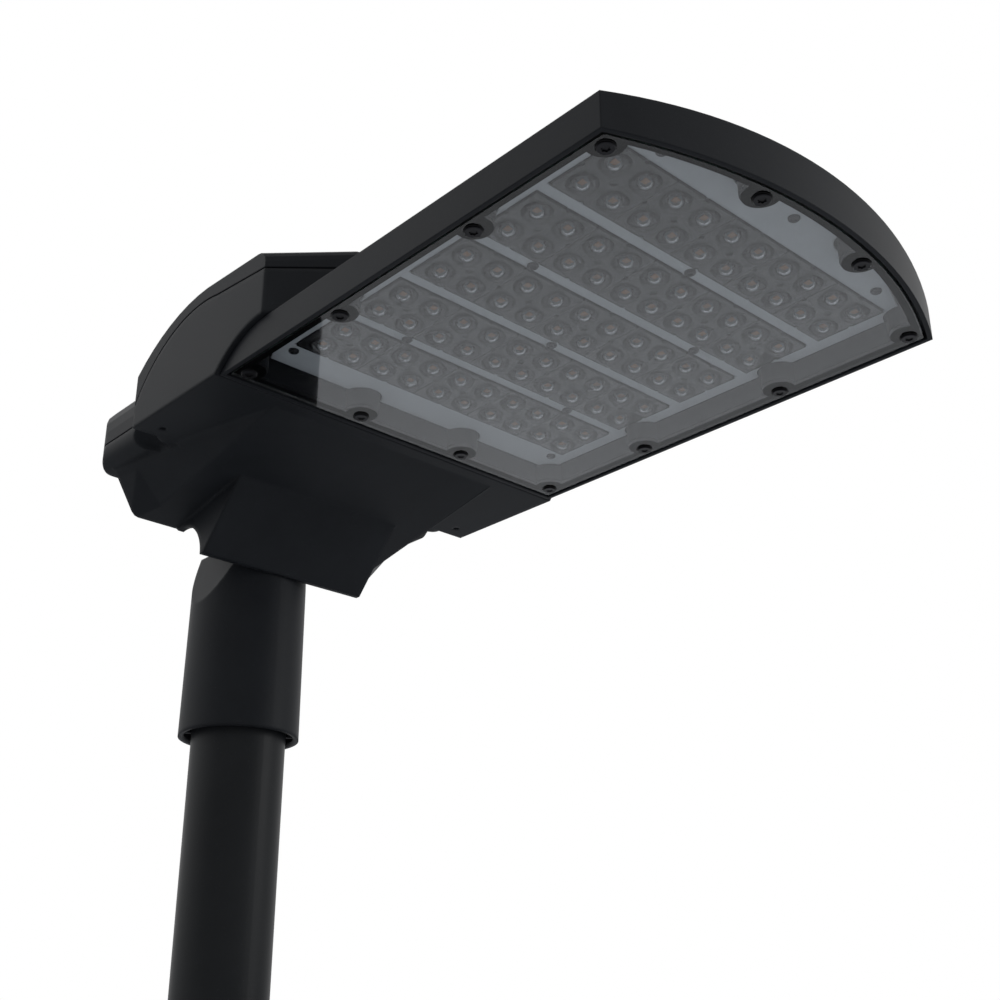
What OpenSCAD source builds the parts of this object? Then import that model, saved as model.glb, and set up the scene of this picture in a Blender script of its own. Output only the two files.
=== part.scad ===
// LED street light head on a tubular pole top: cast optic frame, gear housing with
// canopy, flat glass over five strips of lens modules, and a clamp spigot.
// Origin: centre of the pole's lower end. +Z up, +X from the pole to the nose of the head.

/* [Pole] */
// Outer diameter of the pole top
pole_d = 76; // [60:1:80]
// Wall of the pole tube
pole_wall = 3.5; // [2.5:0.5:5]
// Length of pole in view below the spigot
pole_exposed = 230; // [120:10:600]
// Depth that the pole enters the spigot
pole_depth = 92; // [60:1:94]

/* [Spigot] */
// Outer diameter of the spigot at its lower lip
spigot_d = 97.2; // [94:0.2:100]
// Wall of the spigot round its bore
spigot_wall = 4.8; // [4:0.2:5.5]
// Height from the lower lip to the underside of the head
spigot_rise = 197; // [190:1:210]
// Lean of the two side flats from the vertical, degrees
flat_lean = 22; // [20:0.5:24]
// Distance from the underside of the head down to the foot of the side flats
flat_drop = 89; // [84:1:92]
// Diameter of the clamp screws in the spigot
clamp_screw_d = 10; // [8:1:10]

/* [Pivot] */
// Distance of the pivot bolt in front of the pole axis
pivot_x = 12; // [8:1:14]
// Distance of the pivot bolt below the underside of the head
pivot_drop = 22; // [19:1:24]
// Radius of the pivot barrel
barrel_r = 20; // [17:0.5:22]
// Length of the pivot barrel
barrel_len = 58; // [50:1:60]
// Thickness of each pivot lug
lug_t = 10; // [8:1:14]
// Diameter of the pivot bolt
pivot_bolt_d = 12; // [10:1:14]

/* [Optic frame] */
// Width of the optic frame
head_w = 324; // [316:1:332]
// Distance from the pole axis to the tip of the nose
nose_x = 602; // [596:1:612]
// Radius of the curved nose
nose_r = 382; // [360:2:420]
// Height of the frame's side wall
frame_h = 24.5; // [24:0.5:28]
// Rise of the crowned top above its sides
crown = 7.4; // [5:0.2:9]
// Distance from the pole axis to the rear edge of the frame
frame_rear_x = 200; // [196:1:203]
// Radius of the rounded rear edge of the frame
frame_rear_r = 75.2; // [70:0.2:80]
// Width of the rim lip round the glass
rim_lip = 3.2; // [2.6:0.1:4]
// Width of the seat that carries the glass gasket
seat_w = 7; // [6:0.5:9]
// Height of the cooling fins on top
fin_h = 6; // [3:0.5:10]
// Thickness of a cooling fin
fin_t = 2.6; // [2:0.1:4]
// Distance between cooling fins
fin_pitch = 18; // [12:1:26]

/* [Glass] */
// Thickness of the cover glass
glass_t = 4; // [3:0.5:5]
// Gap between the glass and the rim
glass_gap = 2.3; // [1.8:0.1:3]
// Depth that the glass lies behind the rim's lower edge
glass_recess = 0.5; // [0:0.1:1.5]
// Thickness of the pressed glass gasket
gasket_t = 2; // [1.5:0.1:3]
// Diameter of the glass screws' shanks
glass_screw_d = 6; // [5:0.5:6.5]
// Diameter of the glass screws' heads
glass_head_d = 11; // [9:0.5:12]

/* [Light engine] */
// Number of lens strips along the head
strip_count = 5; // [3:1:5]
// Number of lens modules in a strip
module_count = 5; // [3:1:5]
// Distance between lens strips
strip_pitch = 62.5; // [60:0.5:64]
// Distance from the head's side to the end of the lens strips
strip_margin = 30.5; // [29:0.5:34]
// Width of a lens module along the head
module_side = 52.2; // [50:0.1:52.4]
// Distance from the pole axis to the middle of the first strip
first_strip_x = 523.5; // [520:0.5:526]
// Lens spacing along the head
led_pitch_x = 25.3; // [24:0.1:26]
// Thickness of a lens module's base
lens_base_t = 2.5; // [2:0.1:3.5]
// Radius of a lens where it meets its base
lens_r = 10; // [8:0.5:11]
// Height of a lens above its base
lens_h = 6.5; // [5:0.5:8]
// Side of an LED package
led_side = 5; // [3:0.5:5]
// Thickness of a circuit board
board_t = 1.6; // [1:0.2:2]
// Thickness of the cover plate between the strips
plate_t = 1; // [0.8:0.1:1.4]
// Diameter of the plate screws' heads
plate_head_d = 7.6; // [6:0.2:8.4]

/* [Gear housing] */
// Width of the gear housing over its shoulders
shoulder_w = 331; // [326:1:335]
// Distance from the pole axis to the rear corners of the shoulders
corner_x = 83.4; // [78:0.2:90]
// Distance from the pole axis to the front corners of the shoulders
front_x = 254; // [246:1:262]
// Width of the tail
tail_w = 300; // [292:1:306]
// Distance from the pole axis back to the tail's straight edges
tail_edge_x = 7; // [5:0.5:8]
// Radius of the tail's corners
tail_corner_r = 18; // [12:1:24]
// Distance from the pole axis back to the end of the tail's bow
tail_x = 60; // [56:1:64]
// Radius of the rounded lower edges along the tail's sides
tail_edge_r = 14; // [6:0.5:15]
// Radius of the tail's bow
tail_r = 167; // [160:1:180]
// Radius of the notch between the tail and each shoulder
notch_r = 15.5; // [10:0.5:15.5]
// Length of the notch across the tail
notch_l = 32; // [20:1:34]
// Wall of the gear housing
wall = 5; // [4:0.5:6]
// Height of the parting seam round the tail, above the underside
seam_low = 16.5; // [15:0.5:19]
// Height of the parting seam at its peak, above the underside
seam_high = 69.4; // [67:0.2:72]
// Distance from the pole axis to the seam's peak
seam_x = 172; // [168:1:176]
// Radius of the seam's fall to the rear corner
seam_r = 102; // [98:1:106]
// Fall of the seam from its peak to the front
seam_fall = 8.4; // [6:0.2:10]
// Width of the open seam
seam_gap = 1.2; // [0.8:0.1:1.6]
// Distance from the pole axis to where the sloped belly starts
belly_x = 186.6; // [182:0.2:190]
// Distance from the pole axis to the rear end of the belly
belly_rear_x = 6.5; // [4:0.5:8]
// Half the width between the two ridges of the belly
ridge_y = 107.4; // [104:0.2:110]
// Depth of the belly at its rear end, below the underside
belly_drop = 35; // [33:0.5:37]
// Width of the knuckle block
block_w = 156; // [150:1:160]
// Depth of the block's lower edge below the underside
block_drop = 69; // [66:0.5:70]
// Distance from the pole axis to the block's lower edge
block_x = 51.8; // [51.4:0.2:54]
// Distance from the pole axis to the block's upper edge
block_top_x = 98.7; // [94:0.5:104]
// Diameter of the drain holes in the shoulders
drain_d = 5; // [3:0.5:6]

/* [Canopy] */
// Height of the canopy's side edge at its peak, above the underside
canopy_high = 80.4; // [79:0.2:84]
// Radius of the canopy's fall to the rear corner
canopy_r = 138; // [134:1:144]
// Rise of the canopy's middle above its sides
canopy_rise = 7; // [5:0.5:10]
// Rise of the canopy at its front corners above its sides
brow_rise = 2.4; // [1.5:0.1:3]
// Radius of the canopy's front edge
canopy_edge_r = 10; // [6:1:12]
// Height of the tail's dome above the underside
dome_high = 87; // [84:1:90]
// Radius of the tail's dome
dome_r = 150; // [146:1:156]
// Wall of the canopy
canopy_wall = 4; // [3:0.5:4.5]

/* [Control gear] */
// Free length on the gear tray beside the driver
driver_room = 81; // [76:1:130]
// Width of the driver
driver_w = 68; // [50:1:72]
// Height of the driver
driver_h = 34; // [24:1:36]
// Thickness of the gear tray
tray_t = 2; // [1.5:0.5:3]

/* [Hidden] */

$fn = 72;
eps = 0.01;
fit = 0.3;
big = 900;

// Levels, all from the underside of the head
under_z = pole_exposed + spigot_rise;
glass_z = under_z + glass_recess;
seat_z = glass_z + glass_t + gasket_t;
frame_top_z = under_z + frame_h;
crown_r = (head_w * head_w / 4 + crown * crown) / (2 * crown);
roof_t = 2.5;
roof_z = under_z + frame_h - roof_t;
board_z = roof_z - board_t;
plate_z = board_z - plate_t;
lens_z = board_z - lens_base_t;
led_t = 0.8;

// Optic frame
rim_w = rim_lip + glass_gap;
well_inset = rim_w + seat_w;
frame_arc_x = frame_rear_x
    + sqrt(pow(frame_rear_r, 2) - pow(frame_rear_r - frame_h, 2));
boss_r = 13;
cheek_w = 8;
screw_edge = 8.4;
glass_screw_y = head_w / 2 - rim_w - screw_edge;
glass_rear_x = frame_rear_x + rim_w;
screw_rear_x = glass_rear_x + 10.2;
screw_front_x = nose_x - 45.6;
screw_shift = 8;
screw_step = (screw_front_x - screw_rear_x) / 3 - screw_shift;
screw_mid_y = head_w / 2 - 112.5;
screw_nose_x = nose_x - nose_r
    + sqrt(pow(nose_r - rim_w - screw_edge, 2) - pow(screw_mid_y, 2));
GLASS_SCREWS = [for (s = [-1, 1]) each [
    [screw_rear_x, s * glass_screw_y],
    [screw_rear_x + screw_step, s * glass_screw_y],
    [screw_front_x - screw_step, s * glass_screw_y],
    [screw_front_x, s * glass_screw_y],
    [screw_rear_x, s * screw_mid_y],
    [screw_nose_x, s * screw_mid_y]
]];
glass_hole_d = glass_screw_d + 1;
glass_screw_l = 16;
glass_head_h = 1.2;
seal_t = 0.5;
gasket_edge = 1;

// Light engine
strip_l = head_w - 2 * strip_margin;
module_pitch = strip_l / module_count;
module_len = module_pitch - 0.4;
led_pitch_y = module_pitch / 2 - 0.4;
board_l = strip_l + 1;
board_w = module_side + 1.2;
window_gap = 0.35;
window_l = board_l + 2 * window_gap;
window_w = board_w + 2 * window_gap;
plate_inset = well_inset + 5;
plate_notch_r = boss_r + 2;
function strip_x(i) = first_strip_x - i * strip_pitch;
gap_x = [for (i = [0 : strip_count - 2]) (strip_x(i) + strip_x(i + 1)) / 2];
plate_corner_y = head_w / 2 - plate_inset - 17;
plate_mid_y = strip_l / 2 - module_pitch;
plate_front_y = head_w / 2 - 56;
plate_rear_gap = 33;
plate_front_gap = 37;
plate_nose_gap = 49;
PLATE_SCREWS = concat(
    [for (i = [0 : strip_count - 2]) for (y = i % 2 == 0 ? [0] : [-plate_mid_y, plate_mid_y]) [gap_x[i], y]],
    [for (s = [-1, 1]) [glass_rear_x + plate_rear_gap, s * plate_corner_y]],
    [for (s = [-1, 1]) [first_strip_x + plate_front_gap, s * plate_front_y]],
    [[first_strip_x + plate_nose_gap, 0]]
);
plate_screw_l = 5;
plate_head_h = 1.6;
plate_shank_d = 3.5;
plate_boss_r = 4;
lens_foot = 1;
led_room_r = led_side / sqrt(2) + 0.6;
module_notch_r = 1.6;
gate_r = 2.4;
gate_h = 1;

// Fins on the frame
fin_front_x = nose_x - 60;
fin_rear_x = front_x + 90;
fin_n = floor((head_w / 2 - 40) / fin_pitch);
fin_taper = 2.4;
fin_root = 1;

// Gear housing
shoulder_y = shoulder_w / 2;
tail_y = tail_w / 2;
tail_cx = tail_r - tail_x;
brow_x = front_x + 44;
brow_y = shoulder_y - 50;
peak_x = front_x + 64;
function shoulder_pts(i) = [
    [corner_x + i, -shoulder_y + i], [front_x - i, -shoulder_y + i], [brow_x - i, -brow_y + i / 2],
    [peak_x - i, 0], [brow_x - i, brow_y - i / 2], [front_x - i, shoulder_y - i],
    [corner_x + i, shoulder_y - i]
];
seam_cz = under_z + seam_high - seam_r;
dome_x = 40;
dome_reach = 42;
dome_side = 28;
dome_flat = 50;
dome_brow = 3;
canopy_fall = 3.4;
floor_z = under_z + wall;
slab_floor_z = frame_top_z + crown + wall;
chamber_y = block_w / 2 - wall;
chamber_z = under_z + 9;
chamber_rear_x = 26 - tail_x;
spigot_room = 3;
notch_z = under_z + 1;
heel_r = 32;
heel_x = block_x - 4.5 - heel_r;
heel_z = under_z - block_drop;
cove_top = seam_low / 2;
// Flank below the ridge, then its cove into the tail or the shoulder, at the belly's rear end
FLANK = [[-1, -belly_drop], [0, -belly_drop], [27.4, -6.4]];
BULGE_FOOT = [[22, -9], [-2, 2 - belly_drop], [0, -belly_drop]];
BULGE = [[6, -belly_drop], [9.5, 1 - belly_drop], [12.2, 3.6 - belly_drop], [27.4, -6.4]];
bulge_end_x = belly_rear_x + 24;
REAR_COVE = [[30.5, -2.5], [32.5, 2], [33.5, cove_top], [-1, cove_top]];
FRONT_COVE = [[30.4, -3.4], [34.5, -1.2], [41, 0], [41, cove_top], [-1, cove_top]];
function belly_part(x) = (belly_x - x) / (belly_x - belly_rear_x);
slab_step = 8;
drain_x = corner_x + 14.6;
drain_in = 17.9;
drain_y = shoulder_y - drain_in;
DRAINS = [for (s = [-1, 1]) [drain_x, s * drain_y]];
canopy_screw_x = 14;
canopy_screw_y = chamber_y - 13;
CANOPY_SCREWS = [for (s = [-1, 1]) [pivot_x + canopy_screw_x, s * canopy_screw_y]];
canopy_screw_d = 5;
canopy_head_d = 9;
canopy_head_h = 3;
canopy_screw_l = 24;
canopy_post_r = 6.5;
frame_screw_y = head_w / 2 - 62;
frame_screw_in = 18;
FRAME_SCREWS = [for (k = [-1, -0.5, 0.5, 1]) [front_x - frame_screw_in, k * frame_screw_y]];
frame_screw_d = 6;
frame_screw_l = slab_floor_z - roof_z - 1;
frame_head_d = 10.8;
frame_head_h = 3.5;
gap_side = 1;
grommet_d = 18;
grommet_hole_d = 11;
grommet_lip = 3;
grommet_x = glass_rear_x + 25;

// Pivot and spigot
pivot_z = under_z - pivot_drop;
spigot_top_d = spigot_d - 2.6;
flat_z = under_z - flat_drop;
knuckle_z = under_z - 36;
spigot_z = pole_exposed;
bore_r = spigot_d / 2 - spigot_wall;
bore_top_z = spigot_z + pole_depth + 3;
lead_in = 1.5;
rib_w = 4;
pad_w = 20;
rib_drop = 3;
cable_way_d = 26;
cable_way_x = -20;
flat_start = 20;
lug_y = barrel_len / 2 + fit;
washer_t = 2.5;
nut_t = 8;
head_t = 7;
hex_d = pivot_bolt_d * 1.75;
bolt_end = 3;
lug_r = 16;
clamp_out = 4;
clamp_socket = 5;
clamp_z = [spigot_z + 30, spigot_z + 72];

// Control gear
tray_z = chamber_z + wall;
tray_x = corner_x + wall + 2;
tray_l = 95;
tray_boss_r = 6;
tray_gap = 25;
tray_w = shoulder_w - 2 * tray_gap;
tray_hole_d = 4;
tray_head_d = 8;
tray_head_h = 2.5;
tray_edge = 9;
tray_fold = 6;
TRAY_SCREWS = [for (x = [tray_x + tray_edge, tray_x + tray_l - tray_edge]) for (s = [-1, 1])
    [x, s * (tray_w / 2 - tray_edge)]];
gear_z = tray_z + tray_t;
gland_x = pivot_x + 40;
gland_y = -34;
gland_d = 20;
gland_hex_d = 26;
gland_hole_d = 10;
gland_nut_h = 5;
gland_cap_h = 10;
gland_flange_h = 3;
vent_y = 40;
vent_d = 12;
vent_head_d = 17;
vent_head_h = 4;
vent_hole_d = 6;
driver_x = tray_x + 14;
driver_y = 20 - tray_w / 2;
driver_l = tray_w - driver_room;
driver_ear = 9;
driver_ear_t = 3;
driver_hole_d = 4.5;
SURGE = [54, 40, 28];
SURGE_DISH = [34, 24, 4];
surge_x = tray_x + 22;
surge_y = tray_w / 2 - 46;
TERMINALS = [22, 48, 18];
terminal_n = 4;
terminal_y = 34;
terminal_hole_d = 6;
terminal_screw_d = 5;

// Colours
PAINT = [0.13, 0.14, 0.15];
POLE = [0.16, 0.17, 0.18];
STEEL = [0.62, 0.63, 0.65];
BLACK = [0.05, 0.05, 0.06];
PLATE = [0.55, 0.57, 0.58];
CLEAR = [0.75, 0.8, 0.82];

// Shapes used by more than one piece

// Plan of the optic frame, drawn in by an inset
module frame_plan(inset = 0, rear = 0) {
    intersection() {
        translate([nose_x - nose_r, 0])
            circle(r = nose_r - inset, $fn = 240);
        translate([frame_rear_x + inset + rear, -head_w / 2 + inset])
            square([nose_x, head_w - 2 * inset]);
    }
}

// Everything under the frame's rounded rear edge, across the whole width
module under_rear_edge(grow = 0) {
    width = head_w + 40;
    translate([frame_arc_x, width / 2, frame_top_z - frame_rear_r])
        rotate([90, 0, 0])
            cylinder(r = frame_rear_r + grow, h = width, $fn = 180);
    translate([frame_arc_x, -width / 2, under_z - big])
        cube([big, width, 2 * big]);
}

// Middle of the frame between its two rounded cheeks
module behind_cheeks(grow = 0) {
    width = head_w - 2 * cheek_w + 2 * grow;
    translate([frame_rear_x - grow, -width / 2, under_z - eps])
        cube([big, width, frame_h + crown + 1]);
}

// Solid under the crowned top of the frame
module under_crown(lift = 0) {
    translate([0, 0, under_z + frame_h + crown - crown_r])
        rotate([0, 90, 0])
            cylinder(r = crown_r + lift, h = big, $fn = 720);
}

// Everything below the parting seam, raised by a lift
module below_seam(lift = 0) {
    width = shoulder_w + 40;
    translate([-big / 2, -width / 2, under_z - big])
        cube([big + big, width, big + seam_low + lift]);
    translate([seam_x, width / 2, seam_cz + lift])
        rotate([90, 0, 0])
            cylinder(r = seam_r, h = width, $fn = 180);
    translate([0, width / 2, 0])
        rotate([90, 0, 0])
            linear_extrude(height = width)
                polygon([
                    [seam_x, under_z],
                    [seam_x, seam_cz + seam_r + lift],
                    [front_x, seam_cz + seam_r - seam_fall + lift],
                    [big, seam_cz + seam_r - seam_fall + lift],
                    [big, under_z]
                ]);
}

// Plan of the tail: straight edges with round corners, bowed back over the pole between them
module tail_plan(inset = 0, reach = wall) {
    rear = -tail_edge_x + inset;
    corner_r = tail_corner_r - inset;
    corner_y = tail_y - tail_corner_r;
    translate([rear, -corner_y])
        square([corner_x + reach - rear, 2 * corner_y]);
    translate([rear + corner_r, -tail_y + inset])
        square([corner_x + reach - rear - corner_r, tail_w - 2 * inset]);
    for (s = [-1, 1])
        translate([rear + corner_r, s * corner_y])
            circle(r = corner_r);
    intersection() {
        translate([tail_cx, 0])
            circle(r = tail_r - inset, $fn = 180);
        translate([-tail_x, -corner_y])
            square([tail_x + corner_x, 2 * corner_y]);
    }
}

// Coned notch between the tail and each shoulder
module tail_notch(grow = 0) {
    for (s = [0, 1])
        mirror([0, s, 0])
            translate([corner_x - notch_r, tail_y + eps, notch_z])
                rotate([90, 0, 0])
                    cylinder(r1 = notch_r + grow, r2 = grow, h = notch_l + grow);
}

// Plan of the whole gear housing
module gear_plan(inset = 0) {
    polygon(shoulder_pts(inset));
    tail_plan(inset);
}

// Round head with a six-lobed socket, on a shank that points up
module lobed_screw(head_d, head_h, shank_d, length) {
    lobe_d = head_d * 0.16;
    socket_d = head_d * 0.34;
    socket_h = head_h * 0.6;
    edge = head_h * 0.4;
    difference() {
        rotate_extrude()
            polygon([
                [0, -head_h], [head_d / 2 - edge, -head_h], [head_d / 2, edge - head_h],
                [head_d / 2, 0], [0, 0]
            ]);
        for (a = [0 : 60 : 300])
            rotate(a)
                translate([socket_d / 2, 0, -head_h - eps])
                    cylinder(d = lobe_d, h = socket_h, $fn = 24);
        translate([0, 0, -head_h - eps])
            cylinder(d = socket_d, h = socket_h, $fn = 24);
    }
    translate([0, 0, -eps])
        cylinder(d = shank_d, h = length + eps);
}

// Pole top
module pole_section() {
    color(POLE)
        difference() {
            cylinder(d = pole_d, h = pole_exposed + pole_depth, $fn = 96);
            translate([0, 0, -eps])
                cylinder(d = pole_d - 2 * pole_wall, h = pole_exposed + pole_depth + 2 * eps, $fn = 96);
        }
}

// Cast spigot: collar over the pole, two side flats and the pivot barrel
module spigot() {
    taper_h = knuckle_z - spigot_z;
    color(PAINT)
        difference() {
            union() {
                difference() {
                    translate([0, 0, spigot_z])
                        cylinder(d1 = spigot_d, d2 = spigot_top_d, h = taper_h, $fn = 96);
                    for (s = [0, 1])
                        mirror([0, s, 0])
                            translate([0, spigot_top_d / 2, flat_z])
                                rotate([flat_lean, 0, 0])
                                    translate([-spigot_d, 0, -flat_start])
                                        cube([2 * spigot_d, spigot_d, taper_h]);
                }
                translate([pivot_x, barrel_len / 2, pivot_z])
                    rotate([90, 0, 0])
                        cylinder(r = barrel_r, h = barrel_len);
            }
            difference() {
                translate([0, 0, spigot_z - eps])
                    cylinder(r = bore_r, h = bore_top_z - spigot_z, $fn = 96);
                spigot_ribs();
            }
            translate([0, 0, spigot_z - eps])
                cylinder(r1 = bore_r + lead_in, r2 = bore_r, h = lead_in);
            translate([cable_way_x, 0, bore_top_z - eps])
                cylinder(d = cable_way_d, h = big);
            translate([pivot_x, big / 2, pivot_z])
                rotate([90, 0, 0])
                    cylinder(d = pivot_bolt_d + 2 * fit, h = big);
            for (z = clamp_z)
                translate([-big, 0, z])
                    rotate([0, 90, 0])
                        cylinder(d = clamp_screw_d, h = big);
        }
}

// Ribs in the spigot's bore that centre the pole, the rear one wide for the screws
module spigot_ribs() {
    difference() {
        translate([0, 0, spigot_z + rib_drop])
            intersection() {
                cylinder(r = bore_r + 1, h = bore_top_z - spigot_z, $fn = 96);
                union() {
                    for (a = [0 : 60 : 300])
                        rotate(a)
                            translate([0, -(a == 180 ? pad_w : rib_w) / 2, 0])
                                cube([bore_r + 2, a == 180 ? pad_w : rib_w, bore_top_z - spigot_z]);
                }
            }
        cylinder(d = pole_d + 2 * fit, h = big, $fn = 96);
    }
}

// Two hexagon-socket clamp screws that press on the pole from behind
module spigot_clamp_screws() {
    color(STEEL)
        for (z = clamp_z)
            translate([-pole_d / 2, 0, z])
                rotate([0, -90, 0])
                    difference() {
                        cylinder(d = clamp_screw_d, h = (spigot_d - pole_d) / 2 + clamp_out);
                        translate([0, 0, (spigot_d - pole_d) / 2 + clamp_out - clamp_socket])
                            cylinder(d = clamp_screw_d * 0.58, h = clamp_socket + eps, $fn = 6);
                    }
}

// Hexagon-head bolt across the pivot
module pivot_bolt() {
    reach = lug_y + lug_t + washer_t;
    color(STEEL)
        translate([pivot_x, 0, pivot_z])
            rotate([90, 0, 0]) {
                translate([0, 0, reach])
                    cylinder(d = hex_d, h = head_t, $fn = 6);
                translate([0, 0, -reach - nut_t - bolt_end])
                    cylinder(d = pivot_bolt_d, h = 2 * reach + nut_t + bolt_end + eps);
            }
}

module pivot_washers() {
    color(STEEL)
        for (s = [-1, 1])
            translate([pivot_x, s * (lug_y + lug_t + washer_t / 2), pivot_z])
                rotate([90, 0, 0])
                    difference() {
                        cylinder(d = pivot_bolt_d * 2, h = washer_t, center = true);
                        cylinder(d = pivot_bolt_d + 2 * fit, h = washer_t + 1, center = true);
                    }
}

module pivot_nut() {
    color(STEEL)
        translate([pivot_x, lug_y + lug_t + washer_t, pivot_z])
            rotate([-90, 0, 0])
                difference() {
                    cylinder(d = hex_d, h = nut_t, $fn = 6);
                    translate([0, 0, -eps])
                        cylinder(d = pivot_bolt_d, h = nut_t + 2 * eps);
                }
}

// Cast optic frame: rim, glass seat with twelve bosses, roof with fins
module optic_frame() {
    color(PAINT)
        difference() {
            union() {
                intersection() {
                    translate([0, 0, under_z])
                        linear_extrude(height = frame_h + crown)
                            frame_plan();
                    under_crown();
                    union() {
                        under_rear_edge();
                        behind_cheeks();
                    }
                }
                fins();
            }
            translate([0, 0, under_z - eps])
                linear_extrude(height = seat_z - under_z + eps)
                    frame_plan(rim_lip);
            difference() {
                translate([0, 0, under_z - eps])
                    linear_extrude(height = roof_z - under_z + eps)
                        frame_plan(well_inset);
                for (p = GLASS_SCREWS)
                    translate([p[0], p[1], seat_z])
                        cylinder(r = boss_r, h = frame_h);
                for (p = PLATE_SCREWS)
                    translate([p[0], p[1], board_z])
                        cylinder(r = plate_boss_r, h = frame_h, $fn = 36);
            }
            for (p = GLASS_SCREWS)
                translate([p[0], p[1], seat_z - eps])
                    cylinder(d = glass_screw_d, h = glass_screw_l - glass_t - gasket_t);
            for (p = PLATE_SCREWS)
                translate([p[0], p[1], board_z - eps])
                    cylinder(d = plate_shank_d, h = plate_screw_l - plate_t + 0.5, $fn = 24);
            for (p = FRAME_SCREWS)
                translate([p[0], p[1], roof_z + 0.5])
                    cylinder(d = frame_screw_d, h = big, $fn = 24);
            translate([grommet_x, 0, under_z])
                cylinder(d = grommet_d, h = big);
        }
}

// Low cooling fins that run along the crowned roof
module fins() {
    for (i = [-fin_n : fin_n])
        intersection() {
            translate([fin_rear_x, i * fin_pitch - fin_t / 2, frame_top_z - fin_root])
                cube([fin_front_x - fin_rear_x - fin_taper * abs(i), fin_t, crown + fin_h + 2 * fin_root]);
            under_crown(fin_h);
            translate([fin_rear_x, 0, frame_top_z])
                fin_ramp();
        }
}

// Wedge that lets the fins rise and fall at their ends
module fin_ramp() {
    run = fin_front_x - fin_rear_x;
    rise = crown + fin_h + fin_root;
    low = -2 * fin_root;
    translate([0, head_w / 2, 0])
        rotate([90, 0, 0])
            linear_extrude(height = head_w)
                polygon([[0, low], [3 * rise, rise], [run - 5 * rise, rise], [run, low]]);
}

// Screws that hold the gear housing down on the frame
module frame_screws() {
    color(STEEL)
        for (p = FRAME_SCREWS)
            translate([p[0], p[1], slab_floor_z])
                rotate([180, 0, 0])
                    lobed_screw(frame_head_d, frame_head_h, frame_screw_d, frame_screw_l);
}

// Rubber bush where the leads pass from the gear housing to the frame
module wire_grommet() {
    low = roof_z + 1;
    color(BLACK)
        translate([grommet_x, 0, low])
            difference() {
                union() {
                    cylinder(d = grommet_d - fit, h = slab_floor_z - low + grommet_lip);
                    translate([0, 0, slab_floor_z - low])
                        cylinder(d = grommet_d + 2 * grommet_lip, h = grommet_lip);
                }
                translate([0, 0, -eps])
                    cylinder(d = grommet_hole_d, h = big);
            }
}

// Flat toughened glass with twelve screw holes
module cover_glass() {
    color(CLEAR)
        translate([0, 0, glass_z])
            difference() {
                linear_extrude(height = glass_t)
                    frame_plan(rim_w);
                for (p = GLASS_SCREWS)
                    translate([p[0], p[1], -eps])
                        cylinder(d = glass_hole_d, h = glass_t + 2 * eps);
            }
}

// Flat rubber gasket between the glass and its seat
module glass_gasket() {
    color(BLACK)
        translate([0, 0, glass_z + glass_t])
            difference() {
                linear_extrude(height = gasket_t)
                    difference() {
                        frame_plan(rim_w + gasket_edge);
                        difference() {
                            frame_plan(rim_w + seat_w - gasket_edge);
                            for (p = GLASS_SCREWS)
                                translate([p[0], p[1]])
                                    circle(r = boss_r - gasket_edge);
                        }
                    }
                for (p = GLASS_SCREWS)
                    translate([p[0], p[1], -eps])
                        cylinder(d = glass_hole_d, h = gasket_t + 2 * eps);
            }
}

module glass_screws() {
    color(BLACK)
        for (p = GLASS_SCREWS)
            translate([p[0], p[1], glass_z - seal_t])
                lobed_screw(glass_head_d, glass_head_h, glass_screw_d, glass_screw_l);
}

// Sealing washers under the heads of the glass screws
module glass_screw_seals() {
    color(BLACK)
        for (p = GLASS_SCREWS)
            translate([p[0], p[1], glass_z - seal_t])
                difference() {
                    cylinder(d = glass_head_d + 1, h = seal_t);
                    translate([0, 0, -eps])
                        cylinder(d = glass_screw_d + fit, h = seal_t + 2 * eps);
                }
}

// Painted plate that covers the boards between the lens strips
module cover_plate() {
    color(PLATE)
        translate([0, 0, plate_z])
            difference() {
                linear_extrude(height = plate_t)
                    difference() {
                        frame_plan(plate_inset, 1);
                        for (p = GLASS_SCREWS)
                            translate([p[0], p[1]])
                                circle(r = plate_notch_r);
                        for (i = [0 : strip_count - 1])
                            translate([strip_x(i), 0])
                                square([window_w, window_l], center = true);
                    }
                for (p = PLATE_SCREWS)
                    translate([p[0], p[1], -eps])
                        cylinder(d = plate_shank_d + fit, h = plate_t + 2 * eps, $fn = 24);
            }
}

module plate_screws() {
    color(STEEL)
        for (p = PLATE_SCREWS)
            translate([p[0], p[1], plate_z])
                lobed_screw(plate_head_d, plate_head_h, plate_shank_d, plate_screw_l);
}

// One aluminium-core board with its lands
module led_board(i) {
    color([0.85, 0.86, 0.84])
        translate([strip_x(i), 0, board_z + board_t / 2])
            cube([board_w, board_l, board_t], center = true);
}

// LED packages of one board
module led_chips(i) {
    color([0.9, 0.75, 0.35])
        translate([strip_x(i), 0, board_z - led_t])
            at_lenses()
                translate([-led_side / 2, -led_side / 2, 0])
                    cube([led_side, led_side, led_t]);
}

// Places of the lenses of one strip
module at_lenses() {
    for (j = [0 : module_count - 1])
        translate([0, (j - (module_count - 1) / 2) * module_pitch, 0])
            for (a = [-1, 1])
                for (b = [-1, 1])
                    translate([a * led_pitch_x / 2, b * led_pitch_y / 2, 0])
                        children();
}

// One strip: a row of separate square modules, each with four domed lenses
module lens_strip(i) {
    color(CLEAR)
        translate([strip_x(i), 0, lens_z])
            for (j = [0 : module_count - 1])
                translate([0, (j - (module_count - 1) / 2) * module_pitch, 0])
                    lens_module();
}

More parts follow.
